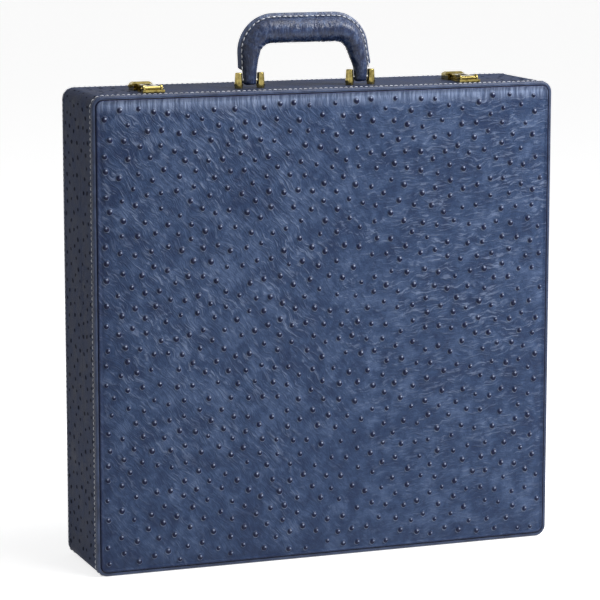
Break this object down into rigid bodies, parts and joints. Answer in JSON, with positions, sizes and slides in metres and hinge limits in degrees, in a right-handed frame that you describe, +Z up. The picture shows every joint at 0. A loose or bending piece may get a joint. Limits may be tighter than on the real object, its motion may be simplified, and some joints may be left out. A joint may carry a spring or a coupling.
{
  "type": "chess box",
  "caption": "Square leather attache-style chess case with carrying handle and brass latches, holding a board and chessmen in trays.",
  "frame": {"origin": "middle of the underside that the case stands on", "axes": "+Z up towards the handle, +X along the width, -Y out of the front panel"},
  "size_m": [0.48, 0.109, 0.5405],
  "materials": {
    "panel_leather": "navy ostrich leather, semi gloss",
    "side_leather": "dark navy leather, satin",
    "handle_leather": "navy ostrich leather, glossy roll",
    "case_wood": "bare poplar and plywood",
    "suede": "warm grey suede cloth",
    "brass": "polished brass",
    "steel": "bright steel",
    "light_wood": "polished boxwood",
    "dark_wood": "polished dark wood",
    "board_leather": "navy leather over a board",
    "light_leather": "cream leather",
    "dark_leather": "navy leather"
  },
  "bodies": {
    "body": {"body_wall_top": "case_wood", "body_wall_bottom": "case_wood", "body_wall_left": "case_wood", "body_wall_right": "case_wood", "back_panel": "case_wood", "back_pad": "panel_leather", "back_rim": "panel_leather", "body_cover": "side_leather", "body_base_cover": "side_leather", "body_lining": "suede", "closing_lip": "suede", "hinge_leaf_body": "brass", "hinge_pin": "steel", "hinge_screws_body": "brass", "latch_housings": "brass", "housing_rivets": "brass", "latch_spring_left": "steel", "latch_spring_right": "steel"},
    "lid": {"lid_wall_top": "case_wood", "lid_wall_bottom": "case_wood", "lid_wall_left": "case_wood", "lid_wall_right": "case_wood", "front_panel": "case_wood", "front_pad": "panel_leather", "front_rim": "panel_leather", "lid_cover": "side_leather", "lid_base_cover": "side_leather", "lid_lining": "suede", "board_bed": "suede", "hinge_leaf_lid": "brass", "hinge_screws_lid": "brass", "hasp_plates": "brass", "hasp_pins": "brass", "hasp_plate_rivets": "brass", "handle_posts": "brass", "handle_pins": "steel", "post_screws": "steel"},
    "handle": {"handle_grip": "handle_leather", "handle_core": "steel"},
    "hasp_left": {"hasp_left": "brass"},
    "hasp_right": {"hasp_right": "brass"},
    "button_left": {"latch_button_left": "brass"},
    "button_right": {"latch_button_right": "brass"},
    "board": {"chessboard": "board_leather", "light_squares": "light_leather", "dark_squares": "dark_leather"},
    "light_set": {"tray_light": "suede", "king_light": "light_wood", "queen_light": "light_wood", "bishops_light": "light_wood", "knights_light": "light_wood", "rooks_light": "light_wood", "pawns_light": "light_wood"},
    "dark_set": {"tray_dark": "suede", "king_dark": "dark_wood", "queen_dark": "dark_wood", "bishops_dark": "dark_wood", "knights_dark": "dark_wood", "rooks_dark": "dark_wood", "pawns_dark": "dark_wood"}
  },
  "joints": [
    {"name": "lid_hinge", "type": "hinge", "parent": "body", "child": "lid", "pos_m": [0, -0.01, 0.0022], "axis": [1, 0, 0], "range_deg": [0, 100]},
    {"name": "handle_fold", "type": "hinge", "parent": "lid", "child": "handle", "pos_m": [-0.012, -0.019, 0.476], "axis": [1, 0, 0], "range_deg": [-80, 80]},
    {"name": "board_lift", "type": "slide", "parent": "lid", "child": "board", "axis": [0, 1, 0], "range_m": [0, 0.012]},
    {"name": "light_set_lift", "type": "slide", "parent": "body", "child": "light_set", "axis": [0, -1, 0], "range_m": [0, 0.012]},
    {"name": "dark_set_lift", "type": "slide", "parent": "body", "child": "dark_set", "axis": [0, -1, 0], "range_m": [0, 0.012]},
    {"name": "hasp_left_hinge", "type": "hinge", "parent": "lid", "child": "hasp_left", "pos_m": [-0.174, -0.033, 0.4722], "axis": [1, 0, 0], "range_deg": [0, 110]},
    {"name": "button_left_press", "type": "slide", "parent": "body", "child": "button_left", "axis": [1, 0, 0], "range_m": [0, 0.0018], "stiffness_N_per_m": 300, "springref_m": -0.002, "deforming": ["latch_spring_left"]},
    {"name": "hasp_right_hinge", "type": "hinge", "parent": "lid", "child": "hasp_right", "pos_m": [0.156, -0.033, 0.4722], "axis": [1, 0, 0], "range_deg": [0, 110]},
    {"name": "button_right_press", "type": "slide", "parent": "body", "child": "button_right", "axis": [-1, 0, 0], "range_m": [0, 0.0018], "stiffness_N_per_m": 300, "springref_m": -0.002, "deforming": ["latch_spring_right"]}
  ]
}
